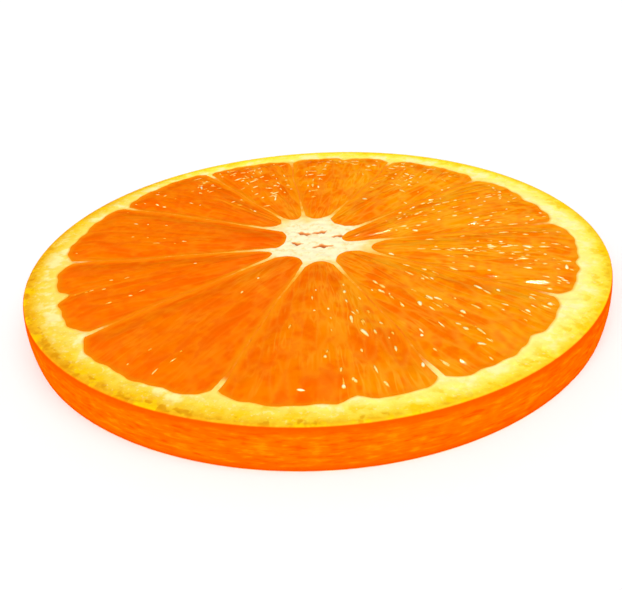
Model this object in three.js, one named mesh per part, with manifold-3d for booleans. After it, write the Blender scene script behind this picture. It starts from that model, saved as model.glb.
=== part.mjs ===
// An orange slice: one round cut from the middle of the fruit, lying flat.
// Rind, pith, membranes, flesh and core are grown together, so the slice is one closed solid.
// Millimetres, +Z up. The origin is the centre of the underside, and +X is the right of the slice.

import * as THREE from 'three';
import { mergeVertices } from 'three/addons/utils/BufferGeometryUtils.js';
import Module from 'manifold-3d';

// ---- Driving dimensions ----------------------------------------------------------------------

const SLICE_RADIUS = 38;
const SLICE_THICKNESS = 5.6;

const SKIN_BULGE = 0.2; // the fruit's own curve, at half thickness
const CUT_EDGE_ROUNDING = 0.35; // the skin's edge, softened beside each cut
const RIM_UNEVENNESS = 0.12; // the fruit isn't quite round
const RIM_WAVES = [
  { count: 2, phase: 0.6, share: 1 },
  { count: 5, phase: 2.1, share: 0.5 },
];

const MEMBRANE_HALF_WIDTH = 0.28;
const GROOVE_OFFSET = 0.85; // from a membrane's middle to the lowest line of the flesh beside it
const GROOVE_DEPTH = 0.3;
const CROWN_REACH = 3.4; // the flesh stops rising this far from the nearest wall
const TOP_CROWN = 0.34; // flesh swells above the upper cut, as its juice sacs relax
const UNDERSIDE_CROWN = -0.12; // and stays clear of the surface that the slice lies on
const FLESH_UNEVENNESS = 0.07;

// Shares of the slice's radius.
const SHOULDER_DROP = 0.045; // how far the flesh falls back at each membrane, on the pith side
const SHOULDER_POWER = 6;
const TIP_DROP = 0.055; // the same beside the core
const TIP_POWER = 2.6;
const NOTCH_WIDTH = 0.055; // of a segment's width, where its rim is parted in two lobes

// Membranes are straight, and are placed by their bearing at these two radii.
const CORE_RADIUS = 0.2;
const PITH_RADIUS = 0.9;
const INNERMOST_BEARING_RADIUS = 0.11;

// The segments, anticlockwise from the right. core and pith are the bearings, in degrees, of the
// membrane that starts the segment. tip and reach are the shares of the radius that its flesh spans,
// and notch says where between its membranes the rim is parted, and how deep.
const SEGMENTS = [
  { core: -9, pith: 2, tip: 0.1, reach: 0.887, notch: { at: 0.44, depth: 0.022 } },
  { core: 30, pith: 36, tip: 0.155, reach: 0.892 },
  { core: 72, pith: 64, tip: 0.19, reach: 0.897, notch: { at: 0.5, depth: 0.012 } },
  { core: 100, pith: 96, tip: 0.205, reach: 0.905 },
  { core: 120, pith: 122, tip: 0.2, reach: 0.92 },
  { core: 144, pith: 152, tip: 0.105, reach: 0.91 },
  { core: 197, pith: 185, tip: 0.175, reach: 0.896, notch: { at: 0.47, depth: 0.045 } },
  { core: 219, pith: 219, tip: 0.145, reach: 0.913 },
  { core: 258, pith: 252, tip: 0.17, reach: 0.91, notch: { at: 0.62, depth: 0.018 } },
  { core: 289, pith: 290, tip: 0.15, reach: 0.905, notch: { at: 0.56, depth: 0.012 } },
  { core: 328, pith: 326, tip: 0.215, reach: 0.888, notch: { at: 0.44, depth: 0.015 } },
];

// Small tears in the dry core: place as shares of the radius, bearing of the long side in degrees,
// and half length and half width in millimetres.
const CORE_TEARS = [
  { x: -0.042, y: 0.06, turn: -20, halfLength: 0.75, halfWidth: 0.32 },
  { x: 0.018, y: 0.058, turn: 25, halfLength: 0.8, halfWidth: 0.34 },
  { x: -0.06, y: -0.018, turn: -40, halfLength: 0.5, halfWidth: 0.22 },
  { x: 0.028, y: -0.054, turn: 15, halfLength: 0.95, halfWidth: 0.32 },
];
const TEAR_DEPTH = 1.1;

// ---- How finely the cut face is divided ------------------------------------------------------

const FLESH_COLUMNS = 6; // across a segment, between its grooves
const FLESH_RINGS = 7; // along a segment, between its grooves
const CORE_RINGS = 2;
const PITH_RINGS = 2;
const ROUNDING_STEPS = 2;
const SKIN_STEPS = 3;

// ---- Small helpers ---------------------------------------------------------------------------

const radians = THREE.MathUtils.degToRad;
const lerp = THREE.MathUtils.lerp;
const smoothstep = THREE.MathUtils.smoothstep;

function seededRandom(seed) {
  let state = seed;
  return () => {
    state = (state * 1664525 + 1013904223) % 4294967296;
    return state / 4294967296;
  };
}

// ---- The plan of the slice -------------------------------------------------------------------

// Radius of the rim at a bearing, without the skin's bulge.
function rimRadius(bearing) {
  const waves = RIM_WAVES.map((w) => w.share * Math.sin(w.count * bearing + w.phase));
  return SLICE_RADIUS + RIM_UNEVENNESS * waves.reduce((sum, wave) => sum + wave, 0);
}

// Bearing of a segment's first membrane at a share of the radius. A straight line that passes the
// centre at a small distance has a bearing that changes with one over the radius.
function membraneBearing(segment, share) {
  const slope = (segment.core - segment.pith) / (1 / CORE_RADIUS - 1 / PITH_RADIUS);
  const atShare = 1 / Math.max(share, INNERMOST_BEARING_RADIUS);
  return radians(segment.pith + slope * (atShare - 1 / PITH_RADIUS));
}

// Bearings of the two membranes around a segment.
function wallBearings(index, share) {
  const next = (index + 1) % SEGMENTS.length;
  const turn = next === 0 ? 2 * Math.PI : 0;
  return [
    membraneBearing(SEGMENTS[index], share),
    membraneBearing(SEGMENTS[next], share) + turn,
  ];
}

// The flesh's outer and inner ends, as shares of the radius, at a place across the segment from 0 to 1.
function fleshEnds(segment, across) {
  const fromMiddle = Math.abs(2 * across - 1);
  let outer = segment.reach - SHOULDER_DROP * fromMiddle ** SHOULDER_POWER;
  if (segment.notch) {
    const off = (across - segment.notch.at) / NOTCH_WIDTH;
    outer -= segment.notch.depth * Math.exp(-off * off);
  }
  const inner = segment.tip + TIP_DROP * fromMiddle ** TIP_POWER;
  return [inner, outer];
}

// Height of the flesh over the cut, by its distance in millimetres from the nearest wall.
function fleshLevel(distance, crown) {
  if (distance <= 0) return 0;
  const groove = GROOVE_OFFSET - MEMBRANE_HALF_WIDTH;
  if (distance < groove) return (-GROOVE_DEPTH * distance) / groove;
  return lerp(-GROOVE_DEPTH, crown, smoothstep(distance, groove, CROWN_REACH));
}

// ---- Rings and columns of the cut face -------------------------------------------------------

// A segment's columns run from its first membrane's middle to just before its second membrane.
// offset is in millimetres from the nearer membrane, and share divides what is left between.
const COLUMNS = [
  { offset: 0, from: 0 },
  { offset: MEMBRANE_HALF_WIDTH, from: 0 },
  { offset: GROOVE_OFFSET, from: 0 },
];
for (let i = 1; i < FLESH_COLUMNS; i++) COLUMNS.push({ share: i / FLESH_COLUMNS });
COLUMNS.push({ offset: GROOVE_OFFSET, from: 1 }, { offset: MEMBRANE_HALF_WIDTH, from: 1 });
const NARROWEST_SHARE = 0.26; // an offset never takes more of a narrow segment's width than this

// The rings: core, then along the flesh, then the pith. zone says which, and t runs 0 to 1 in it.
const RINGS = [];
for (let i = 1; i <= CORE_RINGS; i++) RINGS.push({ zone: 'core', t: i / (CORE_RINGS + 1) });
RINGS.push({ zone: 'flesh', t: 0 }, { zone: 'flesh', inset: GROOVE_OFFSET, from: 0 });
for (let i = 1; i < FLESH_RINGS; i++) RINGS.push({ zone: 'flesh', t: i / FLESH_RINGS });
RINGS.push({ zone: 'flesh', inset: GROOVE_OFFSET, from: 1 }, { zone: 'flesh', t: 1 });
for (let i = 1; i <= PITH_RINGS; i++) RINGS.push({ zone: 'pith', t: i / PITH_RINGS });

// How far across its segment a column lies, from 0 to 1, where the segment is so wide.
function acrossOf(column, width) {
  const limit = (offset) => Math.min(offset / width, NARROWEST_SHARE * (offset / GROOVE_OFFSET));
  if (column.share !== undefined) {
    const groove = limit(GROOVE_OFFSET);
    return lerp(groove, 1 - groove, column.share);
  }
  return column.from === 0 ? limit(column.offset) : 1 - limit(column.offset);
}

// Share of the radius at which a ring crosses a place across a segment.
function shareOf(ring, segment, across) {
  const [inner, outer] = fleshEnds(segment, across);
  const edge = 1 - CUT_EDGE_ROUNDING / SLICE_RADIUS;
  if (ring.zone === 'core') return inner * ring.t;
  if (ring.zone === 'pith') return lerp(outer, edge, ring.t);
  if (ring.inset === undefined) return lerp(inner, outer, ring.t);
  const inset = (ring.inset - MEMBRANE_HALF_WIDTH) / SLICE_RADIUS;
  return ring.from === 0 ? inner + inset : outer - inset;
}

// Where a ring and a column cross: bearing, share of the radius, and distance to the nearest wall.
function crossing(ring, index, column) {
  const segment = SEGMENTS[index];
  let across = column.share ?? column.from;
  let share = 0;
  let walls = [0, 0];
  for (let pass = 0; pass < 3; pass++) {
    share = shareOf(ring, segment, across);
    walls = wallBearings(index, share);
    across = acrossOf(column, (walls[1] - walls[0]) * share * SLICE_RADIUS);
  }
  const [inner, outer] = fleshEnds(segment, across);
  const width = (walls[1] - walls[0]) * share * SLICE_RADIUS;
  const distance = Math.min(
    width * Math.min(across, 1 - across) - MEMBRANE_HALF_WIDTH,
    (share - inner) * SLICE_RADIUS,
    (outer - share) * SLICE_RADIUS,
  );
  return { bearing: lerp(walls[0], walls[1], across), share, distance };
}

// One cut face as rings of points, from the core outwards. up is 1 for the upper face.
function cutFace(up) {
  const random = seededRandom(up > 0 ? 11 : 23);
  const crown = up > 0 ? TOP_CROWN : UNDERSIDE_CROWN;
  const unevenness = up > 0 ? FLESH_UNEVENNESS : FLESH_UNEVENNESS / 2;
  return RINGS.map((ring) =>
    SEGMENTS.flatMap((segment, index) =>
      COLUMNS.map((column) => {
        const { bearing, share, distance } = crossing(ring, index, column);
        const swell = distance > GROOVE_OFFSET ? unevenness * (2 * random() - 1) : 0;
        const level = fleshLevel(distance, crown) + swell;
        const radius = share * rimRadius(bearing);
        const z = up > 0 ? SLICE_THICKNESS + level : -level;
        return new THREE.Vector3(radius * Math.cos(bearing), radius * Math.sin(bearing), z);
      }),
    ),
  );
}

// The skin between the two cuts, as rings of points from the top down, in line with the face's last ring.
function skinRings(lastRing) {
  const profile = [];
  const r = CUT_EDGE_ROUNDING;
  for (let i = 1; i <= ROUNDING_STEPS; i++) {
    const turn = (i / ROUNDING_STEPS) * (Math.PI / 2);
    profile.push({ out: -r + r * Math.sin(turn), z: SLICE_THICKNESS - r + r * Math.cos(turn) });
  }
  for (let i = 1; i < SKIN_STEPS; i++) {
    const t = i / SKIN_STEPS;
    const out = SKIN_BULGE * (1 - (2 * t - 1) ** 2);
    profile.push({ out, z: lerp(SLICE_THICKNESS - r, r, t) });
  }
  for (let i = ROUNDING_STEPS; i >= 1; i--) {
    const turn = (i / ROUNDING_STEPS) * (Math.PI / 2);
    profile.push({ out: -r + r * Math.sin(turn), z: r - r * Math.cos(turn) });
  }
  return profile.map(({ out, z }) =>
    lastRing.map((point) => {
      const bearing = Math.atan2(point.y, point.x);
      const radius = rimRadius(bearing) + out;
      return new THREE.Vector3(radius * Math.cos(bearing), radius * Math.sin(bearing), z);
    }),
  );
}

// ---- The solid -------------------------------------------------------------------------------

// Joins rings of equal length, from the middle of the upper face round the skin to the middle of
// the underside, into one closed surface.
function closedSurface(rings, topMiddle, bottomMiddle) {
  const count = rings[0].length;
  const points = [topMiddle, ...rings.flat(), bottomMiddle];
  const last = points.length - 1;
  const at = (ring, column) => 1 + ring * count + (column % count);
  const faces = [];
  for (let column = 0; column < count; column++) {
    faces.push(0, at(0, column), at(0, column + 1));
    for (let ring = 0; ring + 1 < rings.length; ring++) {
      const [a, b] = [at(ring, column), at(ring, column + 1)];
      const [c, d] = [at(ring + 1, column), at(ring + 1, column + 1)];
      faces.push(a, c, d, a, d, b);
    }
    faces.push(last, at(rings.length - 1, column + 1), at(rings.length - 1, column));
  }
  const geometry = new THREE.BufferGeometry().setFromPoints(points);
  geometry.setIndex(faces);
  return geometry;
}

function sliceBody() {
  const upper = cutFace(1);
  const under = cutFace(-1);
  const skin = skinRings(upper[upper.length - 1]);
  const rings = [...upper, ...skin.slice(0, -1), ...under.reverse()];
  const topMiddle = new THREE.Vector3(0, 0, SLICE_THICKNESS);
  return closedSurface(rings, topMiddle, new THREE.Vector3(0, 0, 0));
}

// A pointed pit, for one tear in the core, centred on a cut face.
function tearPit(tear, z) {
  const pit = new THREE.SphereGeometry(1, 10, 6);
  pit.scale(tear.halfLength, tear.halfWidth, TEAR_DEPTH);
  pit.rotateZ(radians(tear.turn));
  pit.translate(tear.x * SLICE_RADIUS, tear.y * SLICE_RADIUS, z);
  return pit;
}

const wasm = await Module();
wasm.setup();

function toSolid(geometry) {
  const bare = geometry.clone();
  bare.deleteAttribute('normal');
  bare.deleteAttribute('uv');
  const merged = mergeVertices(bare);
  return new wasm.Manifold(new wasm.Mesh({
    numProp: 3,
    vertProperties: new Float32Array(merged.attributes.position.array),
    triVerts: new Uint32Array(merged.index.array),
  }));
}

function toGeometry(solid) {
  const mesh = solid.getMesh();
  const geometry = new THREE.BufferGeometry();
  geometry.setAttribute('position', new THREE.BufferAttribute(mesh.vertProperties, 3));
  geometry.setIndex(new THREE.BufferAttribute(mesh.triVerts, 1));
  geometry.computeVertexNormals();
  return geometry;
}

let solid = toSolid(sliceBody());
for (const tear of CORE_TEARS) {
  solid = solid.subtract(toSolid(tearPit(tear, SLICE_THICKNESS)));
  solid = solid.subtract(toSolid(tearPit(tear, 0)));
}

const flesh = new THREE.MeshStandardMaterial({ color: 0xff7a0a, roughness: 0.3, metalness: 0 });
const slice = new THREE.Mesh(toGeometry(solid), flesh);
slice.name = 'orange_slice';

const group = new THREE.Group();
group.add(slice);

export default group;
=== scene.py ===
# %% [markdown]
# # An orange slice
# One round cut from the middle of an orange, lying flat. The real thing has four materials that all
# show on the cut face: a thin oily rind, a spongy pale pith with the membranes and the core grown
# to it, eleven segments packed with long juice sacs, and the juice that wets the cut.
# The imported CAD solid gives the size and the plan. Here the rind, the pith, each segment's flesh and
# the juice become pieces of their own that fill their share of that solid, so that each can have
# its own surface and finish.

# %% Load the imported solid
import math

import bpy
import numpy as np
from mathutils import Matrix, Vector
from mathutils.bvhtree import BVHTree


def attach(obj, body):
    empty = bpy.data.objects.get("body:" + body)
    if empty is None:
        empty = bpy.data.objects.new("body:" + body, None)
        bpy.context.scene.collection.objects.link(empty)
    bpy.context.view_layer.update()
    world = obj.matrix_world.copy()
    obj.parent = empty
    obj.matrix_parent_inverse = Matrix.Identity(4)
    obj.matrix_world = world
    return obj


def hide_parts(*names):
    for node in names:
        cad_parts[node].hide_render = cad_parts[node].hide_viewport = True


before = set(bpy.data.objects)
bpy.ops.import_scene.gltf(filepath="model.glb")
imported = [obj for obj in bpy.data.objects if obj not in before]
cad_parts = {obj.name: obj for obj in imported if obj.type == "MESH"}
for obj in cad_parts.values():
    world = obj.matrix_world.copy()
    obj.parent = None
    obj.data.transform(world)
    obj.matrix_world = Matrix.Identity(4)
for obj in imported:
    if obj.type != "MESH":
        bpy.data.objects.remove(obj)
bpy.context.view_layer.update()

# %% [markdown]
# ## The plan
# Everything on the cut face follows the same plan: where the membranes run, how far the flesh of
# each segment reaches, and how round the rim is. It is the plan of the CAD solid, given again in
# metres, because this script can't read that source. It goes further into detail than the solid
# does: the walls are as thin as they show between two fills of flesh, and the flesh's rim has finer
# lobes. Membranes are straight walls that pass the centre at a small distance, so each is placed by
# its bearing near the core and its bearing at the pith.

# %% Sizes of the slice
MM = 0.001
SLICE_RADIUS = 38 * MM
SLICE_THICKNESS = 5.6 * MM
SKIN_BULGE = 0.2 * MM
CUT_EDGE_ROUNDING = 0.35 * MM
RIM_UNEVENNESS = 0.12 * MM
RIM_WAVES = [(2, 0.6, 1), (5, 2.1, 0.5)]  # count, phase, share
MEMBRANE_HALF_WIDTH = 0.12 * MM
WIDEST_WALL = 0.0857  # the most that half a membrane takes of a segment's width, near the tip
GROOVE_OFFSET = 0.5 * MM  # from a wall to the lowest line of the flesh beside it
GROOVE_DEPTH = 0.03 * MM
CROWN_REACH = 3.4 * MM  # from a wall to where the flesh stands highest
TOP_CROWN = 0.3 * MM
UNDERSIDE_CROWN = -0.15 * MM  # below, the flesh draws in a little
RIND_START = 0.966  # share of the radius where the pith gives way to the rind
LOBE_CORNER = 0.34  # of a segment's half width, where its rim turns round to the membrane
LOBE_DEPTH = 0.056  # shares of the radius, as the next three are
LOBE_FALL = 0.008  # how much less the flesh reaches at its sides than in its middle
LOBE_RIPPLES = [(19, 5, 0.0035), (47, 1, 0.002)]  # waves across, shift between segments, height
TIP_ROUNDING = 0.055
MEMBRANE_WANDER = 0.006  # radians
NOTCH_WIDTH = 0.055  # of a segment's width
BEARING_SHARES = (0.2, 0.9)  # where a membrane's two bearings are taken

# %% The eleven segments and the tears in the core
# Bearings in degrees near the core and at the pith, shares of the radius that the flesh spans, how
# much further it reaches on one side than on the other, and where the rim of a segment is parted in
# two lobes, as (place across, depth).
SEGMENT_FACTS = ("core", "pith", "tip", "reach", "slant", "notch")
SEGMENT_ROWS = [
    (-9, 2, 0.1, 0.888, 0.0, (0.44, 0.022)),
    (30, 36, 0.155, 0.89, 0.014, None),
    (72, 64, 0.19, 0.899, 0.0, (0.47, 0.028)),
    (100, 96, 0.205, 0.905, 0.018, None),
    (120, 122, 0.2, 0.92, -0.036, None),
    (144, 152, 0.105, 0.908, -0.012, (0.48, 0.012)),
    (197, 185, 0.175, 0.897, 0.0, (0.47, 0.045)),
    (219, 219, 0.145, 0.923, 0.01, None),
    (258, 252, 0.17, 0.925, 0.0, (0.62, 0.028)),
    (289, 290, 0.15, 0.913, -0.034, (0.56, 0.012)),
    (328, 326, 0.215, 0.902, 0.008, (0.44, 0.015)),
]
SEGMENTS = [dict(zip(SEGMENT_FACTS, row)) for row in SEGMENT_ROWS]
CORE_TEARS = [  # x and y as shares of the radius, turn in degrees, half length and half width in mm
    (-0.038, 0.063, -12, 1.45, 0.6),
    (0.022, 0.066, 20, 1.45, 0.6),
    (0.09, 0.022, -8, 1.35, 0.5),
    (-0.063, -0.018, -24, 1.2, 0.5),
    (0.03, -0.052, 12, 1.8, 0.65),
]
TEAR_DEPTH = 0.4 * MM
print("Segments:", len(SEGMENTS), "tears:", len(CORE_TEARS))


# %% Functions of the plan
def smoothstep(low, high, value):
    t = np.clip((value - low) / (high - low), 0, 1)
    return t * t * (3 - 2 * t)


def rim_radius(bearing):
    waves = sum(share * np.sin(count * bearing + phase) for count, phase, share in RIM_WAVES)
    return SLICE_RADIUS + RIM_UNEVENNESS * waves


def membrane_bearing(segment, share):
    """The bearing of a straight wall that passes beside the centre, at a share of the radius."""
    near, far = (1 / at for at in BEARING_SHARES)
    slope = (segment["core"] - segment["pith"]) / (near - far)
    inverse = 1 / np.maximum(share, 0.11)  # nearer the centre the wall keeps its bearing
    return np.radians(segment["pith"] + slope * (inverse - far))


def wander(index, share):
    """How far a membrane strays from straight, as an angle."""
    swing = np.sin(11 * share + 2.3 * index) + 0.6 * np.sin(23 * share + 4.1 * index)
    return MEMBRANE_WANDER * swing * smoothstep(0.15, 0.4, share)


def wall_bearings(index, share):
    following = (index + 1) % len(SEGMENTS)
    turn = 0 if following else 2 * math.pi
    first = membrane_bearing(SEGMENTS[index], share) + wander(index, share)
    return first, membrane_bearing(SEGMENTS[following], share) + wander(following, share) + turn


def half_width(share):
    """Half of a membrane's width: more beside the core and where it meets the pith."""
    beside_core = 1.4 * smoothstep(0.38, 0.2, share)
    beside_pith = 1.7 * smoothstep(0.76, 0.88, share)
    return MEMBRANE_HALF_WIDTH * (1 + beside_core + beside_pith)


def flesh_ends(index, across):
    """Shares of the radius where the flesh starts and ends, at a place across its segment."""
    segment = SEGMENTS[index]
    from_middle = np.abs(2 * across - 1)
    corner = np.clip((from_middle - 1 + LOBE_CORNER) / LOBE_CORNER, 0, 1)
    outer = segment["reach"] + segment["slant"] * (across - 0.5) - LOBE_FALL * from_middle**2
    outer = outer - LOBE_DEPTH * (1 - np.sqrt(1 - 0.998 * corner**2))
    for waves, shift, height in LOBE_RIPPLES:
        outer = outer + height * np.sin(waves * across + shift * index)
    if segment["notch"]:
        place, depth = segment["notch"]
        outer = outer - depth * np.exp(-(((across - place) / NOTCH_WIDTH) ** 2))
    inner = segment["tip"] + TIP_ROUNDING * from_middle**2.6
    return inner, outer


# %% [markdown]
# ## Small tools
# The same few moves come back for every piece: select one object alone, apply a modifier, read or
# write all the points of a mesh, store a number on each point, and build a network of nodes. Each
# is written once here, so that the cells below say only what is particular to a piece. Numbers are
# moved in whole lists with foreach_get and foreach_set, as a loop over the points would be slow.

# %% Tools for meshes
def only(obj):
    if bpy.context.object and bpy.context.object.mode != "OBJECT":
        bpy.ops.object.mode_set(mode="OBJECT")
    bpy.ops.object.select_all(action="DESELECT")
    obj.select_set(True)
    bpy.context.view_layer.objects.active = obj


def apply_modifier(obj, kind, **settings):
    only(obj)
    modifier = obj.modifiers.new("finish", kind)
    for name, value in settings.items():
        setattr(modifier, name, value)
    bpy.ops.object.modifier_apply(modifier=modifier.name)


def places_of(obj):
    places = np.zeros(3 * len(obj.data.vertices), np.float32)
    obj.data.vertices.foreach_get("co", places)
    return places.reshape(-1, 3).astype(float)


def set_places(obj, places):
    obj.data.vertices.foreach_set("co", np.asarray(places, np.float32).ravel())
    obj.data.update()


def lay_on_cut(obj, bearing, share):
    """Lay the points on the upper cut face, by bearing and share of the radius."""
    radius = share * rim_radius(bearing)
    height = np.full_like(radius, SLICE_THICKNESS)
    set_places(obj, np.stack([radius * np.cos(bearing), radius * np.sin(bearing), height], -1))


def store(obj, name, values):
    kind, field = ("FLOAT", "value") if values.ndim == 1 else ("FLOAT_VECTOR", "vector")
    attributes = obj.data.attributes
    attribute = attributes.get(name) or attributes.new(name, kind, "POINT")
    attribute.data.foreach_set(field, values.astype(np.float32).ravel())


def stored(obj, name):
    attribute = obj.data.attributes[name]
    width, field = (1, "value") if attribute.data_type == "FLOAT" else (3, "vector")
    values = np.zeros(width * len(obj.data.vertices), np.float32)
    attribute.data.foreach_get(field, values)
    return values if width == 1 else values.reshape(-1, width)


def side_of(places):
    """1 for points on the upper cut face and -1 for those on the lower one."""
    return np.where(places[:, 2] > SLICE_THICKNESS / 2, 1.0, -1.0)


def new_grid(name, columns, rows):
    bpy.ops.object.select_all(action="DESELECT")
    bpy.ops.mesh.primitive_grid_add(x_subdivisions=columns, y_subdivisions=rows, size=1)
    made = bpy.context.object
    made.name = name
    return made


def count_of(obj):
    obj.data.calc_loop_triangles()
    return f"{obj.name}: {len(obj.data.loop_triangles)} triangles"


# %% Tools for nodes
def add(tree, kind, inputs=(), **settings):
    made = tree.nodes.new(kind)
    for name, value in settings.items():
        setattr(made, name, value)
    for key, value in dict(inputs).items():
        if isinstance(value, bpy.types.NodeSocket):
            tree.links.new(value, made.inputs[key])
        else:
            made.inputs[key].default_value = value
    return made


def math_of(tree, operation, *values):
    return add(tree, "ShaderNodeMath", enumerate(values), operation=operation).outputs[0]


def times(tree, first, second):
    return math_of(tree, "MULTIPLY", first, second)


def plus(tree, first, second):
    return math_of(tree, "ADD", first, second)


def centred(tree, value):
    """A value that runs from 0 to 1 made to run from -0.5 to 0.5."""
    return math_of(tree, "SUBTRACT", value, 0.5)


def vector_of(tree, operation, *values):
    made = add(tree, "ShaderNodeVectorMath", enumerate(values), operation=operation)
    return made.outputs[1] if operation in ("LENGTH", "DOT_PRODUCT") else made.outputs[0]


def ease(tree, value, low, high, start=0.0, end=1.0):
    """A soft step from start to end while the value goes from low to high."""
    inputs = {0: value, 1: low, 2: high, 3: start, 4: end}
    return add(tree, "ShaderNodeMapRange", inputs, interpolation_type="SMOOTHSTEP").outputs[0]


def mix_of(tree, factor, first, second):
    """The first colour where the factor is 0, the second where it is 1."""
    inputs = {0: factor, 6: first, 7: second}
    return add(tree, "ShaderNodeMix", inputs, data_type="RGBA").outputs[2]


def noise_of(tree, vector, scale, detail=2.0, roughness=0.5):
    """Soft noise from 0 to 1. In metres, a scale of 1000 gives blots about a millimetre wide."""
    inputs = {"Vector": vector, "Scale": scale, "Detail": detail, "Roughness": roughness}
    return add(tree, "ShaderNodeTexNoise", inputs).outputs["Fac"]


def stretched(tree, vector, x, y, z):
    return vector_of(tree, "MULTIPLY", vector, (x, y, z))


def share_of_radius(tree, place):
    return vector_of(tree, "LENGTH", stretched(tree, place, 1 / SLICE_RADIUS, 1 / SLICE_RADIUS, 0))


def shares_towards(tree, place, x, y):
    """How far a point lies to one side, where (x, y) points, in shares of the radius."""
    return vector_of(tree, "DOT_PRODUCT", place, (x / SLICE_RADIUS, y / SLICE_RADIUS, 0))


# %% [markdown]
# ## The juice sacs
# Inside a segment lie hundreds of juice sacs: thin-skinned spindles, a bit over a millimetre
# wide and several millimetres long, that all point at the core. The knife opens them, so the flesh
# is a bed of long low swellings parted by fine creases. Each could be modelled one by one, but they
# press on each other like bubbles, and that is what a Voronoi pattern is. A Geometry Nodes modifier
# reads the pattern in coordinates that are stretched along the segment, lifts the middle of each
# cell, tips each a little its own way, and stores the crease and a random tint for the material.

# %% Sizes of the sacs
SAC_WIDTH = 1.6 * MM
SAC_LENGTH = 6.2 * MM
SAC_HEIGHT = 0.13 * MM
SAC_TILT = 0.08 * MM
SAC_STEP = 0.05 * MM  # how much one sac stands above another
SAC_WANDER = 0.45  # of a sac's width
FINE_HEIGHT = 0.008 * MM


# %% Tools for Geometry Nodes
def named(tree, name, kind):
    made = add(tree, "GeometryNodeInputNamedAttribute", {"Name": name}, data_type=kind)
    return made.outputs["Attribute"]


def geometry_tree(name):
    tree = bpy.data.node_groups.new(name, "GeometryNodeTree")
    for direction in ("INPUT", "OUTPUT"):
        tree.interface.new_socket("Geometry", in_out=direction, socket_type="NodeSocketGeometry")
    return tree, tree.nodes.new("NodeGroupInput"), tree.nodes.new("NodeGroupOutput")


def keep_value(tree, geometry, name, value):
    inputs = {"Geometry": geometry, "Name": name, "Value": value}
    made = add(tree, "GeometryNodeStoreNamedAttribute", inputs, data_type="FLOAT", domain="POINT")
    return made.outputs["Geometry"]


# %% The sac relief
def make_sac_relief():
    tree, start, end = geometry_tree("sac relief")
    place = named(tree, "sac_place", "FLOAT_VECTOR")
    lift = named(tree, "sac_lift", "FLOAT")
    side = named(tree, "side", "FLOAT")

    noise = add(tree, "ShaderNodeTexNoise", {"Vector": place, "Scale": 0.55, "Detail": 2.0})
    wander = vector_of(tree, "SUBTRACT", noise.outputs["Color"], (0.5, 0.5, 0.5))
    wander = stretched(tree, wander, 2 * SAC_WANDER, 2 * SAC_WANDER, 0)
    bent = vector_of(tree, "ADD", place, wander)

    voronoi = {"Vector": bent, "Scale": 1.0, "Randomness": 0.95}
    crease = add(tree, "ShaderNodeTexVoronoi", voronoi, feature="DISTANCE_TO_EDGE").outputs["Distance"]
    sac = add(tree, "ShaderNodeTexVoronoi", voronoi, feature="F1")
    chance = vector_of(tree, "SUBTRACT", sac.outputs["Color"], (0.5, 0.5, 0.5))
    chances = add(tree, "ShaderNodeSeparateXYZ", {0: sac.outputs["Color"]})

    dome = ease(tree, crease, 0.0, 0.45, -0.5 * SAC_HEIGHT, 0.5 * SAC_HEIGHT)
    inside = ease(tree, crease, 0.0, 0.3)  # so that tipped neighbours still meet in a soft crease
    within = vector_of(tree, "SUBTRACT", bent, sac.outputs["Position"])
    tilt = times(tree, vector_of(tree, "DOT_PRODUCT", within, chance), 2 * SAC_TILT)
    step = times(tree, centred(tree, chances.outputs[0]), SAC_STEP)
    fine = noise_of(tree, stretched(tree, bent, 1.0, 1.6, 1.0), 2.4, detail=1.0)
    fine = times(tree, centred(tree, fine), 2 * FINE_HEIGHT)

    own = times(tree, plus(tree, tilt, step), inside)
    height = plus(tree, plus(tree, dome, own), fine)
    height = times(tree, times(tree, height, lift), side)
    offset = add(tree, "ShaderNodeCombineXYZ", {"Z": height}).outputs[0]
    moved = add(tree, "GeometryNodeSetPosition", {"Geometry": start.outputs[0], "Offset": offset})

    kept = keep_value(tree, moved.outputs[0], "sac_wall", ease(tree, crease, 0.0, 0.16, 1.0, 0.0))
    kept = keep_value(tree, kept, "sac_tint", chances.outputs[1])
    tree.links.new(kept, end.inputs[0])
    return tree


sac_relief = make_sac_relief()
print("Sac relief nodes:", len(sac_relief.nodes))

# %% [markdown]
# ## The flesh of each segment
# A segment's flesh fills the pocket between two membranes through the whole thickness of the cut.
# It starts as a flat grid, is laid on the plan so that its columns fan out from the core, and a
# Solidify modifier gives it the thickness of the slice. It could be cut out of one disc with
# booleans, but a grid of its own has even faces that follow the sacs. Its cut face then sinks a
# little beside the walls and swells in the middle, as flesh does once the knife has let it go,
# before the sacs rise.

# %% Lay a grid in a pocket
FLESH_COLUMNS = 104
FLESH_ROWS = 150
RIDGE_ROUNDING = 0.9 * MM  # where the distances to a side wall and to an end are the same
SEAM_WIDTH = 0.014  # of a segment's width


def crowded(a):
    """Places from 0 to 1 that lie closer together near both ends, where the rim turns."""
    return 0.55 * a + 0.45 * (0.5 - 0.5 * np.cos(math.pi * a))


def lay_in_pocket(index, a, t):
    """Bearing, share of the radius, place across and distance from the nearest wall, of points that
    lie at a across the flesh and t along it, both from 0 to 1."""
    across = a
    for _ in range(3):  # the wall takes a share of the width that depends on the place itself
        inner, outer = flesh_ends(index, across)
        share = inner + (outer - inner) * t
        first, second = wall_bearings(index, share)
        width = (second - first) * share * SLICE_RADIUS
        margin = np.minimum(half_width(share) / width, WIDEST_WALL)
        across = margin + (1 - 2 * margin) * a
    bearing = first + (second - first) * across
    from_side = width * (np.minimum(across, 1 - across) - margin)
    from_ends = np.minimum(share - inner, outer - share) * SLICE_RADIUS
    near = np.minimum(from_side, from_ends)
    far = np.maximum(from_side, from_ends)
    distance = near - np.maximum(RIDGE_ROUNDING - (far - near), 0) ** 2 / (4 * RIDGE_ROUNDING)
    return bearing, share, across, np.maximum(distance, 0)


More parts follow.
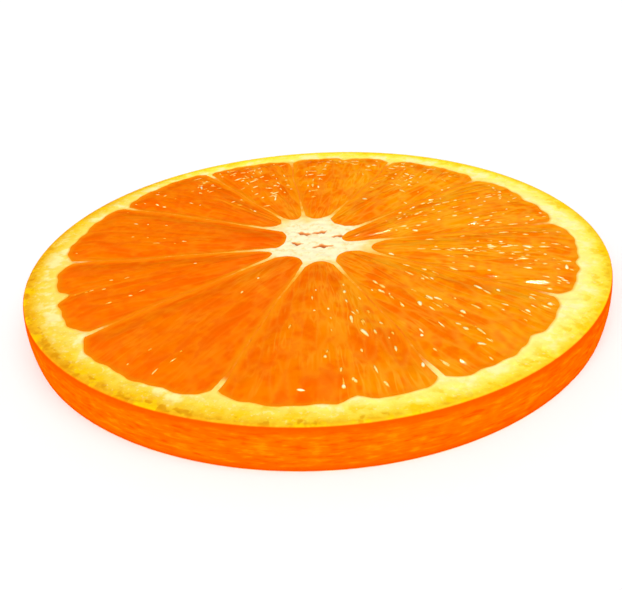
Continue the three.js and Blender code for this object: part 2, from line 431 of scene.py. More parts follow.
def flesh_level(distance, crown):
    """How far the cut face rises: a groove beside the wall, then up to the crown."""
    sinking = -GROOVE_DEPTH * distance / GROOVE_OFFSET
    rising = -GROOVE_DEPTH + (crown + GROOVE_DEPTH) * smoothstep(GROOVE_OFFSET, CROWN_REACH, distance)
    return np.where(distance < GROOVE_OFFSET, sinking, rising)


def seam_at(index, across, t):
    """Where a segment grew as two, a pale seam runs in from the notch in its rim and fades."""
    if not SEGMENTS[index]["notch"]:
        return np.zeros(len(across))
    place, depth = SEGMENTS[index]["notch"]
    strays = 0.012 * np.sin(9 * t + index)
    line = np.exp(-(((across - place - strays) / SEAM_WIDTH) ** 2))
    return line * smoothstep(0.5, 1.0, t) * min(1, 0.4 + 15 * depth)


# %% Fill one pocket
def fill_pocket(index):
    """A closed block of flesh between two membranes, with the sacs' coordinates on its points."""
    piece = new_grid(f"flesh_{index + 1:02d}", FLESH_COLUMNS, FLESH_ROWS)
    flat = places_of(piece) + 0.5
    bearing, share, across, distance = lay_in_pocket(index, crowded(flat[:, 0]), flat[:, 1])
    lay_on_cut(piece, bearing, share)

    first, second = wall_bearings(index, 0.9)
    full_width = (second - first) * 0.9 * SLICE_RADIUS
    fan = (across - 0.5) * full_width * share**0.6 / SAC_WIDTH  # fewer sacs side by side at the tip
    along = share * SLICE_RADIUS / SAC_LENGTH
    own_part = 31.7 * index  # so that no two segments have the same sacs
    store(piece, "sac_place", np.stack([fan + own_part, along, 0 * along], -1))
    store(piece, "from_wall", distance)
    store(piece, "seam", seam_at(index, across, flat[:, 1]))
    piece.data.flip_normals()  # the columns run anticlockwise, which turned the grid face down
    apply_modifier(piece, "SOLIDIFY", thickness=SLICE_THICKNESS, offset=-1, use_rim=True)
    return piece


# %% Model the eleven pieces of flesh
def model_flesh(index):
    piece = fill_pocket(index)
    places = places_of(piece)
    side = side_of(places)
    distance = stored(piece, "from_wall")
    sac_place = stored(piece, "sac_place")
    sac_place[:, 2] = 4.3 * side  # the underside cuts other sacs
    store(piece, "sac_place", sac_place)

    crown = np.where(side > 0, TOP_CROWN, UNDERSIDE_CROWN)
    places[:, 2] += side * flesh_level(distance, crown)
    set_places(piece, places)
    towards_light = (0.89 * places[:, 0] + 0.45 * places[:, 1]) / SLICE_RADIUS
    lively = 0.35 + 0.4 * smoothstep(-0.4, 0.2, towards_light)  # the sacs stand out more there
    lively = np.where(side > 0, lively, 0.45)
    store(piece, "side", side)
    store(piece, "sac_lift", lively * smoothstep(0, 0.8 * MM, distance))
    apply_modifier(piece, "NODES", node_group=sac_relief)
    places = places_of(piece)
    places[:, 2] = np.maximum(places[:, 2], 0)  # soft flesh is flat where it lies on the table
    set_places(piece, places)
    only(piece)
    bpy.ops.object.shade_smooth_by_angle(angle=math.radians(60))
    return piece


flesh = [model_flesh(index) for index in range(len(SEGMENTS))]
print(count_of(flesh[0]), "of", len(flesh), "pieces")

# %% [markdown]
# ## Drops and torn sacs
# Where the knife burst a sac, its juice stands as a small long bead with a painted highlight on top.
# These are the short bright dashes on the flesh, many on the right and at the back, few on the left.
# Most lie along their sac. At the back, where sacs were torn across, most lie across it. The largest
# have their own place and turn, and chance places the others, in short chains. They could be
# scattered by Geometry Nodes, but so each can lie just where it is wanted. One bead is modelled as a
# round ball with few faces, then copied; each copy is stretched, laid on the flesh by a ray sent
# down from above, and all are joined into one piece.

# %% Where beads lie, and how many
random_beads = np.random.default_rng(21)
BEADS_AT = [  # middle of an eighth of the slice in degrees, chains of beads there, how large they are
    (22, 38, 1.05), (67, 42, 1.25), (112, 46, 1.25), (157, 10, 0.75),
    (202, 6, 0.7), (247, 6, 0.8), (292, 36, 1.15), (337, 54, 1.15),
]
LARGE_DROPS = [  # bearing, share of the radius, half length and half width in mm, turn in degrees
    (281.3, 0.644, 0.95, 0.27, 116),
    (306.2, 0.57, 0.7, 0.25, 118),
    (307.6, 0.592, 0.55, 0.22, 138),
    (301.6, 0.578, 0.55, 0.3, 95),
    (301.1, 0.837, 0.55, 0.28, 4),
    (320.5, 0.644, 0.75, 0.26, 122),
    (322.5, 0.858, 0.42, 0.33, 67),
    (307.2, 0.693, 0.46, 0.3, 122),
    (347.3, 0.74, 0.7, 0.3, 142),
    (302.4, 0.758, 0.44, 0.26, 127),
    (288.6, 0.827, 0.46, 0.2, 87),
    (273.5, 0.863, 0.34, 0.24, 90),
    (266.4, 0.868, 0.46, 0.17, 165),
    (339.0, 0.862, 0.52, 0.25, 76),
    (331.1, 0.3, 0.5, 0.26, 131),
    (321.9, 0.702, 0.44, 0.25, 98),
    (316.9, 0.825, 0.38, 0.22, 124),
    (58.6, 0.412, 0.7, 0.3, 117),
    (28.0, 0.852, 0.6, 0.25, 80),
    (4.5, 0.372, 0.46, 0.26, 156),
    (130.0, 0.748, 0.9, 0.2, 102),
]
HALF_AN_EIGHTH = 22.5  # degrees
BEAD_HEIGHT = 0.4  # of its half width
BEAD_TAPER = 0.35  # how much thinner one end is than the middle
TORN_ACROSS = 0.65  # the chance of it, at the back


# %% Choose the places and the forms of the beads
def place_on_flesh(index, a, t):
    """A point's x and y, and its distance from the nearest wall."""
    bearing, share, _, distance = lay_in_pocket(index, np.array([a]), np.array([t]))
    radius = float((share * rim_radius(bearing))[0])
    return radius * math.cos(bearing[0]), radius * math.sin(bearing[0]), float(distance[0])


def choose_beads():
    """Segment, place across, place along and size of each bead, one chain after another."""
    wanted = []
    for middle, chains, size in BEADS_AT:
        started = 0
        while started < chains:
            index = int(random_beads.integers(len(SEGMENTS)))
            a = random_beads.uniform(0.04, 0.96)
            t = random_beads.uniform(0.08, 0.97) ** 0.6  # more of them far out, where a segment is wide
            x, y, _ = place_on_flesh(index, a, t)
            off = (math.degrees(math.atan2(y, x)) - middle + 180) % 360 - 180
            if abs(off) > HALF_AN_EIGHTH:
                continue
            started += 1
            for _ in range(int(random_beads.integers(1, 4))):
                if not (0.02 < a < 0.98 and t < 0.98):
                    break
                if place_on_flesh(index, a, t)[2] > 0.5 * MM * size:
                    wanted.append((index, a, t, size))
                a = a + random_beads.normal(0, 0.02)
                t = t + random_beads.uniform(0.05, 0.1)
    return wanted


def choose_forms():
    """Each bead's x, y, turn, half length, half width and how strong its painted highlight is."""
    forms = []
    for index, a, t, size in choose_beads():
        x, y, _ = place_on_flesh(index, a, t)
        ahead_x, ahead_y, _ = place_on_flesh(index, a, t + 0.01)
        turn = math.atan2(ahead_y - y, ahead_x - x) + random_beads.normal(0, 0.16)
        if y > abs(x) * 0.8 and random_beads.random() < TORN_ACROSS:
            turn += math.pi / 2
        half_length = size * (random_beads.uniform(0.2, 1.0) ** 2 * 0.6 + 0.17) * MM
        half_across = size**0.5 * random_beads.uniform(0.1, 0.2) * MM
        # the last number sets how strong the bead's painted highlight is
        forms.append((x, y, turn, half_length, half_across, random_beads.uniform(0.4, 0.9)))
    for bearing, share, half_length, half_across, turn in LARGE_DROPS:
        x = share * SLICE_RADIUS * math.cos(math.radians(bearing))
        y = share * SLICE_RADIUS * math.sin(math.radians(bearing))
        # the large drops get the strongest painted highlight
        forms.append((x, y, math.radians(turn), half_length * MM, half_across * MM, 1.0))
    return forms


bead_forms = choose_forms()
print("Beads:", len(bead_forms))


# %% Lay a bead on the flesh
def ground_below(trees, x, y):
    """The highest flesh below a place, and which way it faces."""
    hits = [tree.ray_cast(Vector((x, y, 1)), Vector((0, 0, -1))) for tree in trees]
    hits = [hit for hit in hits if hit[0]]
    return max(hits, key=lambda hit: hit[0].z)[:2] if hits else None


def axes_on(normal, turn):
    """Axes along, across and off a slope, the first one turned that way as seen from above."""
    forward = Vector((math.cos(turn), math.sin(turn), 0))
    forward = (forward - forward.dot(normal) * normal).normalized()
    return np.array((forward, normal.cross(forward), normal))


# %% Model one bead and lay its copies
def model_beads():
    trees = [BVHTree.FromObject(piece, bpy.context.evaluated_depsgraph_get()) for piece in flesh]
    bpy.ops.object.select_all(action="DESELECT")
    bpy.ops.mesh.primitive_uv_sphere_add(segments=8, ring_count=6, radius=1)
    first = bpy.context.object
    first.name = "juice_beads"
    bpy.ops.object.shade_smooth()
    over, up, along = places_of(first).T  # the ball's poles become the ends of the bead
    copies = []
    glint_masks = []
    for x, y, turn, half_length, half_across, glint_strength in bead_forms:
        ground = ground_below(trees, x, y)
        if not ground:
            continue
        hit, normal = ground
        thin = 1 - BEAD_TAPER * along * random_beads.choice([-1, 1])
        thick = BEAD_HEIGHT * half_across
        local = np.stack([along * half_length, over * half_across * thin, up * thick * thin], -1)
        only(first)
        bpy.ops.object.duplicate()
        made = bpy.context.object
        set_places(made, local @ axes_on(normal, turn) + np.array(hit))
        copies.append(made)
        # painted highlight mask: height on the bead times its strength
        glint_masks.append(up * glint_strength)
    bpy.data.objects.remove(first)
    bpy.ops.object.select_all(action="DESELECT")
    for made in copies:
        made.select_set(True)
    bpy.context.view_layer.objects.active = copies[0]
    bpy.ops.object.join()
    joined = bpy.context.object
    joined.name = "juice_beads"
    # kept for the painted highlight in the bead material
    store(joined, "painted_glint", np.concatenate(glint_masks))
    return joined


beads = model_beads()
print(count_of(beads))

# %% [markdown]
# ## Pith, membranes and core
# The pale pith under the rind, the thin walls between the segments and the star-shaped core are
# one grown web. Walls, ring and core could be three pieces, but then seams would show where they
# meet. So it is modelled as one round grid whose columns follow the membranes. The faces where the
# flesh lies are picked by their place and deleted, the two ends of the grid are merged into a ring,
# and a Solidify modifier makes it as thick as the slice.

# %% Divide the web
WALL_COLUMNS = 3  # from a membrane's middle to its face
POCKET_COLUMNS = 42
WEB_COLUMNS = POCKET_COLUMNS + 2 * WALL_COLUMNS
CORE_ROWS = 36
MEMBRANE_ROWS = 50
PITH_ROWS = 20
WEB_ROWS = CORE_ROWS + MEMBRANE_ROWS + PITH_ROWS


def ends_in_web(index, k, across):
    """The flesh's ends, which inside a membrane pass over from those of one segment to the next."""
    own = flesh_ends(index, across)
    before = flesh_ends((index - 1) % len(SEGMENTS), np.ones(len(k)))
    after = flesh_ends((index + 1) % len(SEGMENTS), np.zeros(len(k)))
    to_before = 0.5 * np.maximum(1 - k / WALL_COLUMNS, 0)
    to_after = 0.5 * np.maximum(1 - (WEB_COLUMNS - k) / WALL_COLUMNS, 0)
    own_part = 1 - to_before - to_after
    return [own_part * own[i] + to_before * before[i] + to_after * after[i] for i in range(2)]


def lay_web(column, row):
    """Bearing and share of the radius for each point of the grid, from its column and row numbers."""
    bearings = np.zeros(len(column))
    shares = np.zeros(len(column))
    owner = (column // WEB_COLUMNS) % len(SEGMENTS)
    for index in range(len(SEGMENTS)):
        mine = owner == index
        k = column[mine] % WEB_COLUMNS
        j = row[mine]
        across = k / WEB_COLUMNS
        for _ in range(4):  # as in a pocket of flesh, the place decides the wall's share
            inner, outer = ends_in_web(index, k, across)
            core = inner * j / CORE_ROWS
            membrane = inner + (outer - inner) * (j - CORE_ROWS) / MEMBRANE_ROWS
            pith = outer + (RIND_START - outer) * (j - CORE_ROWS - MEMBRANE_ROWS) / PITH_ROWS
            share = np.where(j <= CORE_ROWS + MEMBRANE_ROWS, membrane, pith)
            share = np.where(j <= CORE_ROWS, core, share)
            first, second = wall_bearings(index, share)
            width = np.maximum((second - first) * share * SLICE_RADIUS, 0.01 * MM)
            margin = np.minimum(half_width(share) / width, WIDEST_WALL)
            middle = margin + (1 - 2 * margin) * crowded((k - WALL_COLUMNS) / POCKET_COLUMNS)
            left = margin * k / WALL_COLUMNS
            right = 1 - margin * (WEB_COLUMNS - k) / WALL_COLUMNS
            across = np.where(k > WEB_COLUMNS - WALL_COLUMNS, right, middle)
            across = np.where(k < WALL_COLUMNS, left, across)
        bearings[mine] = first + (second - first) * across
        shares[mine] = share
    return bearings, shares


# %% Open the pockets
def open_pockets(piece, columns):
    """Delete the faces where the flesh lies."""
    centres = np.zeros(3 * len(piece.data.polygons), np.float32)
    piece.data.polygons.foreach_get("center", centres)
    centres = centres.reshape(-1, 3) + 0.5
    local = (centres[:, 0] * columns) % WEB_COLUMNS
    row = centres[:, 1] * WEB_ROWS
    pocket = (local > WALL_COLUMNS) & (local < WEB_COLUMNS - WALL_COLUMNS)
    pocket &= (row > CORE_ROWS) & (row < CORE_ROWS + MEMBRANE_ROWS)

    only(piece)
    bpy.ops.object.mode_set(mode="EDIT")
    bpy.ops.mesh.select_mode(type="FACE")
    bpy.ops.mesh.select_all(action="DESELECT")
    bpy.ops.object.mode_set(mode="OBJECT")
    piece.data.polygons.foreach_set("select", pocket)
    bpy.ops.object.mode_set(mode="EDIT")
    bpy.ops.mesh.delete(type="FACE")
    bpy.ops.object.mode_set(mode="OBJECT")


# %% Model the web
def model_web():
    columns = WEB_COLUMNS * len(SEGMENTS)
    piece = new_grid("pith_and_membranes", columns, WEB_ROWS)
    open_pockets(piece, columns)
    flat = places_of(piece) + 0.5
    column = np.rint(flat[:, 0] * columns).astype(int)
    row = np.rint(flat[:, 1] * WEB_ROWS)
    lay_on_cut(piece, *lay_web(column, row))
    from_flesh = (row - CORE_ROWS - MEMBRANE_ROWS) / PITH_ROWS  # 0 at the flesh, 1 at the rind
    local = column % WEB_COLUMNS
    in_wall = np.minimum(local, WEB_COLUMNS - local) < WALL_COLUMNS
    store(piece, "from_flesh", np.where(in_wall | (from_flesh < 0), 1.0, from_flesh))
    bpy.ops.object.mode_set(mode="EDIT")
    bpy.ops.mesh.select_all(action="SELECT")
    bpy.ops.mesh.remove_doubles(threshold=0.0005 * MM)
    bpy.ops.mesh.flip_normals()
    bpy.ops.object.mode_set(mode="OBJECT")
    apply_modifier(piece, "SOLIDIFY", thickness=SLICE_THICKNESS, offset=-1, use_rim=True)
    return piece


web = model_web()
print(count_of(web))

# %% [markdown]
# ## The uneven surface of the pith
# Pith is a dry sponge. The knife leaves it flat as a whole but slightly pitted, and the middle
# of the core has torn open in a few places where the fruit's axis has dried. Both are moves of the
# points of the cut faces: small waves from a few seeded directions, and a pointed pit for each tear.
# A Displace modifier could make the waves too, but here they can fade out where the rind begins.

# %% Waves and tears
random_waves = np.random.default_rng(7)
SPONGE_HEIGHT = 0.035 * MM
SPONGE_WAVES = 14


def sponge(x, y):
    total = np.zeros(len(x))
    for _ in range(SPONGE_WAVES):
        direction = random_waves.uniform(0, 2 * math.pi)
        length = random_waves.uniform(0.9, 2.6) * MM
        phase = random_waves.uniform(0, 2 * math.pi)
        total += np.sin(2 * math.pi * (x * np.cos(direction) + y * np.sin(direction)) / length + phase)
    return total / SPONGE_WAVES**0.5


def tear_depths(x, y):
    """How deep the tears are, from 0 to 1, at each point."""
    depth = np.zeros(len(x))
    for tear_x, tear_y, turn, half_length, half_width in CORE_TEARS:
        right = x - tear_x * SLICE_RADIUS
        up = y - tear_y * SLICE_RADIUS
        angle = math.radians(turn)
        along = (right * np.cos(angle) + up * np.sin(angle)) / (half_length * MM)
        over = (up * np.cos(angle) - right * np.sin(angle)) / (half_width * MM)
        over = over + 0.3 * np.sin(3.5 * along + turn)  # a tear winds a little
        ragged = 1 + 0.3 * np.sin(9 * along + 2 * turn)
        inside = 1 - np.abs(along) ** 1.6 - ragged * np.abs(over)
        depth = np.maximum(depth, smoothstep(0, 0.7, inside))
    return depth


places = places_of(web)
side = side_of(places)
x, y = places[:, 0], places[:, 1]
tear = tear_depths(x, y)
swell = SPONGE_HEIGHT * sponge(x, y)
swell *= smoothstep(RIND_START, RIND_START - 0.02, np.hypot(x, y) / SLICE_RADIUS)  # level at the rind
swell = np.where(side > 0, swell, -np.abs(swell))  # the underside is pitted only, as it lies flat
places[:, 2] += side * (swell - TEAR_DEPTH * tear)
set_places(web, places)
store(web, "tear", tear)
only(web)
bpy.ops.object.shade_smooth_by_angle(angle=math.radians(50))
print("Deepest tear in mm:", round(1000 * TEAR_DEPTH * tear.max(), 2))

# %% [markdown]
# ## The rind
# The rind is the thin coloured skin, full of oil glands. On the side of the slice each gland is a
# shallow dimple, and where the knife passed through the skin the glands on the edge are open pits.
# The section of the band is drawn once, as a loop of points, and spun round the middle of the
# fruit. It could be a curve with a bevel, but spun rings give even faces for the dimples.

# %% Draw the section of the band
SIDE_ROWS = 22
EDGE_ROWS = 8
ROUNDING_ROWS = 4


def band_section():
    edge = SLICE_RADIUS - CUT_EDGE_ROUNDING
    start = RIND_START * SLICE_RADIUS
    top = SLICE_THICKNESS - CUT_EDGE_ROUNDING
    points = [(start + (edge - start) * i / EDGE_ROWS, SLICE_THICKNESS) for i in range(EDGE_ROWS)]
    for i in range(ROUNDING_ROWS):
        turn = math.pi / 2 * i / ROUNDING_ROWS
        radius = edge + CUT_EDGE_ROUNDING * math.sin(turn)
        points.append((radius, top + CUT_EDGE_ROUNDING * math.cos(turn)))
    for i in range(SIDE_ROWS + 1):
        t = i / SIDE_ROWS
        bulge = SKIN_BULGE * (1 - (2 * t - 1) ** 2)
        points.append((SLICE_RADIUS + bulge, top + (CUT_EDGE_ROUNDING - top) * t))
    points.insert(0, (start - 0.05 * MM, SLICE_THICKNESS - 0.03 * MM))  # tucked under the pith
    under = [(r, SLICE_THICKNESS - z) for r, z in points[: EDGE_ROWS + ROUNDING_ROWS + 1]]
    return points + under[::-1]


section = band_section()
print("Points in the section:", len(section))

# %% Spin a part of the ring and double it up
# A spin slows down greatly with its number of steps, so only a sixteenth of the ring is spun. That
# part is then copied and turned four times, each time twice as large.
RIND_STEPS = 1088
DOUBLINGS = 4


def model_rind():
    bpy.ops.object.select_all(action="DESELECT")
    bpy.ops.mesh.primitive_circle_add(vertices=len(section), fill_type="NOTHING")
    piece = bpy.context.object
    piece.name = "rind"
    set_places(piece, [(radius, 0, z) for radius, z in section])
    bpy.ops.object.mode_set(mode="EDIT")
    bpy.ops.mesh.select_all(action="SELECT")
    parts = 2**DOUBLINGS
    turn = 2 * math.pi / parts
    bpy.ops.mesh.spin(steps=RIND_STEPS // parts, angle=turn, center=(0, 0, 0), axis=(0, 0, 1))
    for _ in range(DOUBLINGS):
        bpy.ops.mesh.select_all(action="SELECT")
        bpy.ops.mesh.duplicate()
        bpy.ops.transform.rotate(value=turn, orient_axis="Z", center_override=(0, 0, 0))
        turn *= 2
    bpy.ops.mesh.select_all(action="SELECT")
    bpy.ops.mesh.remove_doubles(threshold=0.002 * MM)
    bpy.ops.mesh.normals_make_consistent(inside=False)
    bpy.ops.object.mode_set(mode="OBJECT")
    places = places_of(piece)
    bearing = np.arctan2(places[:, 1], places[:, 0])
    places[:, :2] *= (rim_radius(bearing) / SLICE_RADIUS)[:, None]  # as uneven as the rim
    set_places(piece, places)
    return piece


rind = model_rind()
print(count_of(rind))

# %% The oil glands as Geometry Nodes
GLAND_SPACING = 1.25 * MM
GLAND_DEPTH = 0.05 * MM
OPEN_GLAND_DEPTH = 0.07 * MM
OPEN_GLANDS_FROM = (0.97, 0.98)  # shares of the radius over which they begin
OPEN_GLANDS_TO = (0.986, 0.994)  # and end


def make_gland_relief():
    tree, start, end = geometry_tree("gland relief")
    place = add(tree, "GeometryNodeInputPosition").outputs[0]
    normal = add(tree, "GeometryNodeInputNormal").outputs[0]
    voronoi = {"Vector": place, "Scale": 1 / GLAND_SPACING, "Randomness": 0.8}
    gland = add(tree, "ShaderNodeTexVoronoi", voronoi, feature="F1").outputs["Distance"]
    pit = ease(tree, gland, 0.08, 0.42, 1.0, 0.0)
    upright = add(tree, "ShaderNodeSeparateXYZ", {0: normal}).outputs["Z"]
    on_cut = math_of(tree, "GREATER_THAN", math_of(tree, "ABSOLUTE", upright), 0.5)
    share = share_of_radius(tree, place)
    begun = ease(tree, share, *OPEN_GLANDS_FROM)
    not_ended = ease(tree, share, *OPEN_GLANDS_TO, 1.0, 0.0)
    open_depth = times(tree, times(tree, begun, not_ended), OPEN_GLAND_DEPTH)
    depth = add(tree, "ShaderNodeMix", {0: on_cut, 2: GLAND_DEPTH, 3: open_depth}).outputs[0]
    sink = times(tree, times(tree, pit, depth), -1.0)
    sink = add(tree, "ShaderNodeCombineXYZ", {0: sink, 1: sink, 2: sink}).outputs[0]
    offset = vector_of(tree, "MULTIPLY", normal, sink)
    inputs = {"Geometry": start.outputs[0], "Offset": offset}
    moved = add(tree, "GeometryNodeSetPosition", inputs).outputs[0]
    tree.links.new(keep_value(tree, moved, "gland", pit), end.inputs[0])
    return tree


apply_modifier(rind, "NODES", node_group=make_gland_relief())
only(rind)
bpy.ops.object.shade_smooth_by_angle(angle=math.radians(28))
print("Rind dimpled:", len(rind.data.vertices), "points")

# %% [markdown]
# ## Shared finishes
# Three effects come back in more than one material, so each is a node group. The ring colour runs
# from cream beside the flesh to golden yellow at the skin. It drifts to lemon at the back and to
# gold on the left, and has creamy patches, deeper blots and pale specks. Both pith and rind need it
# to meet without a seam. The uneven tint keeps any colour from being flat. The fine grain is the
# height of small bumps, too small to be worth modelling.

# %% A tool for shader groups
def shader_group(name, inputs, outputs):
    tree = bpy.data.node_groups.new(name, "ShaderNodeTree")
    for direction, sockets in (("INPUT", inputs), ("OUTPUT", outputs)):
        for label, kind in sockets.items():
            tree.interface.new_socket(label, in_out=direction, socket_type=f"NodeSocket{kind}")
    return tree, tree.nodes.new("NodeGroupInput"), tree.nodes.new("NodeGroupOutput")


def object_place(tree):
    return add(tree, "ShaderNodeTexCoord").outputs["Object"]


def linear(red, green, blue):
    """A colour as the eye reads it, from 0 to 255, as the light values that nodes work in."""
    def one(value):
        share = value / 255
        return share / 12.92 if share <= 0.04045 else ((share + 0.055) / 1.055) ** 2.4
    return (one(red), one(green), one(blue), 1.0)


def colour_ramp(tree, factor, stops):
    """A blend through several colours, each given as its position, red, green and blue."""
    made = add(tree, "ShaderNodeValToRGB", {0: factor})
    ramp = made.color_ramp
    while len(ramp.elements) < len(stops):
        ramp.elements.new(1.0)
    for element, (position, *colour) in zip(ramp.elements, stops):
        element.position = position
        element.color = linear(*colour)
    return made.outputs[0]


# %% The ring colour
RING_START = 0.86  # share of the radius where the ring's colours begin
PALE_RING = [  # how far out in the ring, from 0 to 1, and the red, green and blue there
    (0.0, 252, 226, 130), (0.3, 252, 240, 140), (0.6, 252, 240, 105),
    (0.82, 250, 222, 60), (0.95, 244, 196, 34),
]
GOLDEN_RING = [
    (0.0, 252, 212, 100), (0.4, 252, 222, 92), (0.68, 249, 208, 56),
    (0.85, 244, 184, 30), (0.97, 232, 158, 20),
]
LEMON_RING = [
    (0.0, 252, 220, 100), (0.43, 252, 240, 98), (0.6, 251, 238, 70),
    (0.75, 249, 230, 48), (0.95, 244, 214, 26),
]


def make_ring_colour():
    tree, start, end = shader_group("ring colour", {}, {"Color": "Color"})
    place = object_place(tree)
    drift = noise_of(tree, place, 420.0, detail=3.0)
    ragged = noise_of(tree, place, 1300.0)
    share = plus(tree, share_of_radius(tree, place), times(tree, centred(tree, drift), 0.035))
    share = plus(tree, share, times(tree, centred(tree, ragged), 0.03))
    outwards = math_of(tree, "SUBTRACT", share, RING_START)
    outwards = times(tree, outwards, 1 / (1 - RING_START))

    at_back = plus(tree, shares_towards(tree, place, 0, 1), times(tree, drift, 0.3))
    at_left = plus(tree, shares_towards(tree, place, -0.94, -0.34), times(tree, drift, 0.3))
    pale, lemon, golden = (
        colour_ramp(tree, outwards, stops) for stops in (PALE_RING, LEMON_RING, GOLDEN_RING))
    colour = mix_of(tree, ease(tree, at_back, 0.3, 1.0), pale, lemon)
    colour = mix_of(tree, ease(tree, at_left, 0.1, 0.95), colour, golden)

    mottle = noise_of(tree, stretched(tree, place, 1.0, 1.0, 0.3), 330.0, 4.0, 0.6)
    creamy = times(tree, ease(tree, mottle, 0.49, 0.6), ease(tree, outwards, 0.85, 0.5))
    colour = mix_of(tree, times(tree, creamy, 0.65), colour, linear(253, 244, 178))
    blot = times(tree, ease(tree, mottle, 0.46, 0.38), ease(tree, outwards, 0.35, 0.75))
    colour = mix_of(tree, times(tree, blot, 0.8), colour, linear(253, 203, 8))
    speck = noise_of(tree, place, 2400.0, detail=1.0)
    speck = times(tree, ease(tree, speck, 0.6, 0.74), ease(tree, outwards, 0.95, 0.7))
    colour = mix_of(tree, times(tree, speck, 0.28), colour, linear(255, 248, 190))
    tree.links.new(colour, end.inputs[0])
    return tree


ring_colour = make_ring_colour()


# %% The uneven tint and the fine grain
def make_uneven_tint():
    sockets = {"Color": "Color", "Size": "Float", "Amount": "Float"}
    tree, start, end = shader_group("uneven tint", sockets, {"Color": "Color"})
    noise = noise_of(tree, object_place(tree), start.outputs["Size"], detail=4.0)
    shade = plus(tree, times(tree, centred(tree, noise), start.outputs["Amount"]), 1.0)
    red_shade = math_of(tree, "POWER", shade, 0.3)  # red changes less, so the colour stays warm
    shades = add(tree, "ShaderNodeCombineXYZ", {0: red_shade, 1: shade, 2: shade})
    colour = vector_of(tree, "MULTIPLY", start.outputs["Color"], shades.outputs[0])
    tree.links.new(colour, end.inputs[0])
    return tree


def make_fine_grain():
    tree, start, end = shader_group("fine grain", {"Size": "Float"}, {"Height": "Float"})
    noise = noise_of(tree, object_place(tree), start.outputs["Size"], detail=5.0, roughness=0.6)
    tree.links.new(noise, end.inputs[0])
    return tree


uneven_tint = make_uneven_tint()
fine_grain = make_fine_grain()
print("Groups:", ring_colour.name, uneven_tint.name, fine_grain.name)


# %% Tools for materials
def group_in(tree, group, inputs=()):
    return add(tree, "ShaderNodeGroup", inputs, node_tree=group).outputs[0]


def new_material(name, **settings):
    """A material, its nodes and its main shader, set by the names of the shader's sockets."""
    material = bpy.data.materials.new(name)
    material.use_nodes = True
    tree = material.node_tree
    shader = tree.nodes["Principled BSDF"]
    for key, value in settings.items():
        shader.inputs[key.replace("_", " ")].default_value = value
    return material, tree, shader


def give_colour(tree, shader, colour, size, amount):
    tinted = group_in(tree, uneven_tint, {"Color": colour, "Size": size, "Amount": amount})
    tree.links.new(tinted, shader.inputs["Base Color"])


def grain_bump(tree, shader, size, distance, strength):
    height = group_in(tree, fine_grain, {"Size": size})
    inputs = {"Height": height, "Distance": distance, "Strength": strength}
    bump = add(tree, "ShaderNodeBump", inputs)
    tree.links.new(bump.outputs[0], shader.inputs["Normal"])


def read(tree, name):
    """A number that the model has stored on its points."""
    return add(tree, "ShaderNodeAttribute", attribute_name=name).outputs["Fac"]


# %% [markdown]
# ## Flesh material
# Flesh is juice behind thin skins: light goes in, picks up the orange and comes out beside where it
# went in. That is the subsurface part. Over it lies a wet film, which is the coat. Each sac is a
# little deeper or lighter than its neighbours, and the skins between them are paler. The colour
# drifts across the slice, from deeper orange on the left to more yellow on the right. Beside a membrane
# the segment's own skin lies over the juice, which makes a soft lighter edge. The streaks are read
# in the sacs' own coordinates, so that colour and relief agree, and only clouds and pulp in space.

# %% Make the flesh material
SKIN_REACH = 0.9 * MM  # how far that lighter edge fades inwards


def make_flesh_material():
    material, tree, shader = new_material(
        "juicy flesh", Roughness=0.5, IOR=1.36, Specular_IOR_Level=0.0, Subsurface_Weight=0.3,
        Subsurface_Scale=0.0004, Subsurface_Radius=(1.0, 0.8, 0.4), Coat_Weight=0.25,
        Coat_Roughness=0.05, Coat_IOR=1.36)
    place = object_place(tree)
    sac_place = add(tree, "ShaderNodeAttribute", attribute_name="sac_place").outputs["Vector"]
    tint = read(tree, "sac_tint")
    wall = read(tree, "sac_wall")

    streak = noise_of(tree, stretched(tree, sac_place, 1.1, 2.0, 1.0), 1.0, 1.2, 0.4)  # along the sacs
    cloud = noise_of(tree, place, 170.0, detail=3.0)
    pulp = ease(tree, noise_of(tree, place, 760.0, detail=1.5), 0.35, 0.65)
    amount = times(tree, tint, 0.45)
    for part, weight in ((streak, 0.8), (cloud, 1.1), (pulp, 0.42)):
        amount = plus(tree, amount, times(tree, part, weight))
    amount = ease(tree, amount, 1.0, 1.75)

    deep = mix_of(tree, amount, linear(246, 99, 0), linear(250, 117, 0))
    light = mix_of(tree, amount, linear(249, 116, 0), linear(252, 148, 2))
    to_the_right = times(tree, centred(tree, cloud), 0.8)
    to_the_right = plus(tree, shares_towards(tree, place, 0.93, 0.17), to_the_right)
    to_the_right = ease(tree, to_the_right, -0.5, 0.5)
    colour = mix_of(tree, to_the_right, deep, light)
    to_the_left = math_of(tree, "SUBTRACT", 1.0, to_the_right)
    tip = times(tree, ease(tree, share_of_radius(tree, place), 0.55, 0.16), to_the_left)
    colour = mix_of(tree, times(tree, tip, 0.8), colour, linear(240, 86, 0))  # deeper beside the core

    thread = noise_of(tree, stretched(tree, sac_place, 1.6, 1.0, 1.0), 1.3, 1.0)
    thread = ease(tree, math_of(tree, "ABSOLUTE", centred(tree, thread)), 0.0, 0.09, 0.4, 0.0)
    thread = times(tree, thread, ease(tree, cloud, 0.35, 0.65))
    pale = math_of(tree, "MAXIMUM", times(tree, wall, 0.25), thread)
    pale = times(tree, pale, plus(tree, times(tree, to_the_right, 0.75), 0.25))
    colour = mix_of(tree, pale, colour, linear(255, 190, 56))  # sac skins and loose threads
    skin = ease(tree, read(tree, "from_wall"), 0.0, SKIN_REACH, 0.5, 0.0)
    skin = math_of(tree, "MAXIMUM", skin, times(tree, read(tree, "seam"), 0.7))
    colour = mix_of(tree, skin, colour, linear(253, 150, 14))  # the segment's own skin
    give_colour(tree, shader, colour, 700.0, 0.1)
    grain_bump(tree, shader, 1500.0, 0.02 * MM, 0.2)
    return material


flesh_material = make_flesh_material()
for piece in flesh:
    piece.data.materials.append(flesh_material)
print("Flesh material nodes:", len(flesh_material.node_tree.nodes))
